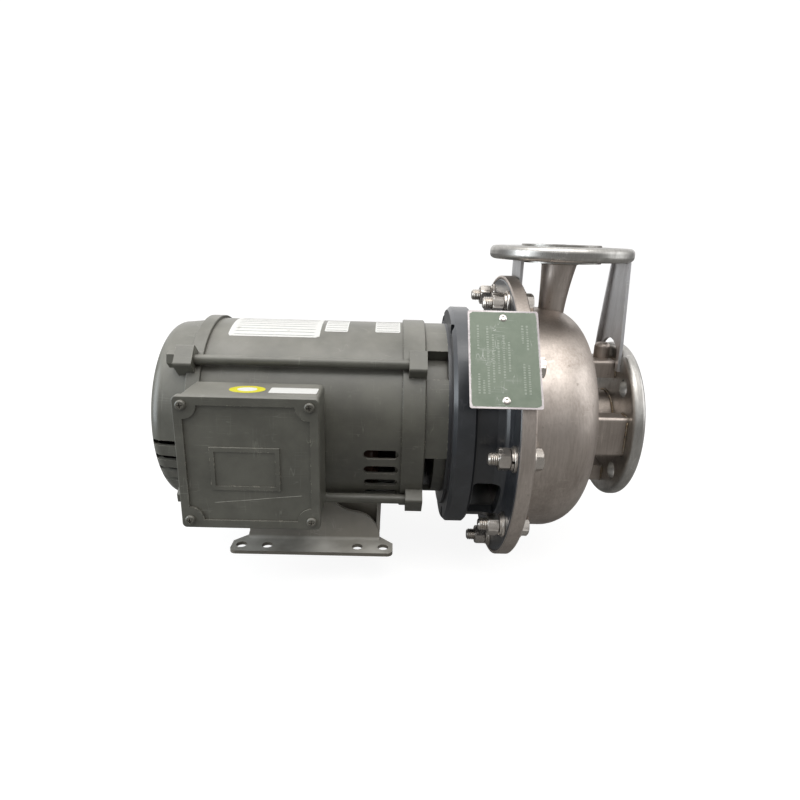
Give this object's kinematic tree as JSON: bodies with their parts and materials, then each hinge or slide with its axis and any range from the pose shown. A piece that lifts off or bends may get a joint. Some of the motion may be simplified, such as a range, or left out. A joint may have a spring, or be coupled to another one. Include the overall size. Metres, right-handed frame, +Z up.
{
  "type": "close-coupled centrifugal water pump",
  "caption": "Close-coupled end-suction centrifugal water pump: open foot-mounted motor, black cast adapter, pressed stainless casing with round suction and discharge flanges.",
  "frame": {"origin": "centre of the four outer foot holes, on the underside of the motor's feet", "axes": "+X along the shaft from the motor to the suction flange, +Y away from the terminal box, +Z up towards the discharge flange"},
  "size_m": [0.4767, 0.3026, 0.328],
  "materials": {
    "motor_enamel": "satin",
    "adapter_black": "satin",
    "stainless": "satin",
    "bright_steel": "satin",
    "plain_steel": "satin",
    "lamination": "matte",
    "copper_winding": "gloss",
    "cast_aluminium": "satin",
    "fan_plastic": "matte",
    "black_rubber": "matte",
    "carbon": "satin",
    "lead_insulation": "matte",
    "name_plate": "satin",
    "gasket_sheet": "matte"
  },
  "bodies": {
    "housing": {"motor_frame": "motor_enamel", "motor_base": "motor_enamel", "rear_end_bell": "motor_enamel", "front_end_bell": "motor_enamel", "through_bolts": "motor_enamel", "stator_core": "lamination", "stator_windings": "copper_winding", "front_bearing_outer_ring": "plain_steel", "rear_bearing_outer_ring": "plain_steel", "bearing_preload_washer": "plain_steel", "junction_box_body": "motor_enamel", "junction_box_gasket": "gasket_sheet", "junction_box_lid": "motor_enamel", "junction_box_screws": "bright_steel", "box_mounting_screws": "bright_steel", "lead_grommet": "black_rubber", "motor_leads": "lead_insulation", "ground_screw": "bright_steel", "adapter": "adapter_black", "adapter_cap_screws": "bright_steel", "casing_cover": "stainless", "casing_o_ring": "black_rubber", "pump_casing": "stainless", "discharge_nozzle": "stainless", "drain_plug": "stainless", "casing_bolts": "bright_steel", "casing_nuts": "bright_steel", "casing_washers": "bright_steel", "suction_flange": "stainless", "discharge_flange": "stainless", "suction_stays": "stainless", "discharge_strut_motor_side": "stainless", "discharge_strut_suction_side": "stainless", "gauge_port_plug": "stainless", "wear_ring": "stainless", "seal_seat_cup": "black_rubber", "seal_seat": "carbon", "nameplate": "name_plate", "nameplate_bracket": "stainless", "nameplate_rivets": "bright_steel"},
    "rotor": {"rotor_core": "lamination", "rotor_end_rings": "cast_aluminium", "cooling_fan": "fan_plastic", "motor_shaft": "plain_steel", "front_bearing_inner_ring": "plain_steel", "rear_bearing_inner_ring": "plain_steel", "shaft_sleeve": "stainless", "seal_rotary_head": "stainless", "seal_bellows": "black_rubber", "slinger": "black_rubber", "impeller": "stainless", "impeller_key": "plain_steel", "impeller_washer": "stainless", "impeller_screw": "stainless"},
    "front_cage": {"front_bearing_balls": "plain_steel"},
    "rear_cage": {"rear_bearing_balls": "plain_steel"}
  },
  "joints": [
    {"name": "shaft_spin", "type": "hinge", "parent": "housing", "child": "rotor", "pos_m": [0, 0, 0.1143], "axis": [1, 0, 0], "continuous": true},
    {"name": "front_cage_spin", "type": "hinge", "parent": "housing", "child": "front_cage", "pos_m": [0.108, 0, 0.1143], "axis": [1, 0, 0], "continuous": true},
    {"name": "rear_cage_spin", "type": "hinge", "parent": "housing", "child": "rear_cage", "pos_m": [-0.1425, 0, 0.1143], "axis": [1, 0, 0], "continuous": true}
  ],
  "couplings": [
    {"joint": "front_cage_spin", "follows": "shaft_spin", "ratio": 0.39648},
    {"joint": "rear_cage_spin", "follows": "shaft_spin", "ratio": 0.39691}
  ]
}
